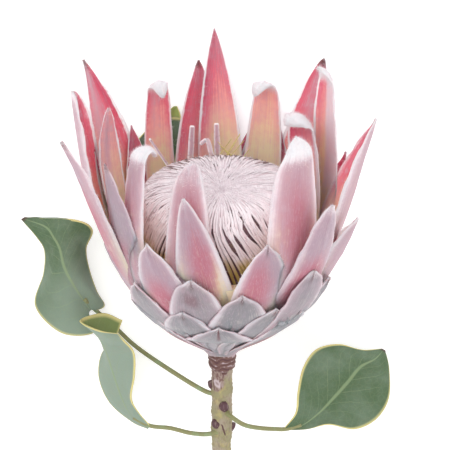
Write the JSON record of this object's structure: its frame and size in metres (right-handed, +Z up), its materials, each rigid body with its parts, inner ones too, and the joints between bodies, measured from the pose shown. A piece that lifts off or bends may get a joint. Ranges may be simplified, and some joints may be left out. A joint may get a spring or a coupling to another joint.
{
  "type": "protea flower",
  "caption": "Cut king protea flower lying on its back: cup of pointed bracts round a dome of packed florets, on a woody stem with broad leaves on long stalks.",
  "frame": {"origin": "centre of the bounding box's footprint, on the surface that the flower lies on", "axes": "+Y from the stem's cut end towards the flower's head, +Z up from the surface, +X to the flower's right as seen from above"},
  "size_m": [0.1987, 0.2861, 0.1311],
  "materials": {
    "bracts": "matt, finely downy, coral pink inside and silvery mauve outside",
    "florets": "matt, downy, white-pink strips",
    "stem": "matt bark, olive tan with grey-pink patches",
    "leaves": "satin, leathery dull green with a thin yellow margin"
  },
  "bodies": {
    "root": {"bracts": "bracts", "flower_dome": "florets", "stem": "stem", "leaf_upper_left": "leaves", "leaf_lower_left": "leaves", "leaf_right": "leaves", "leaf_behind": "leaves"}
  },
  "joints": []
}
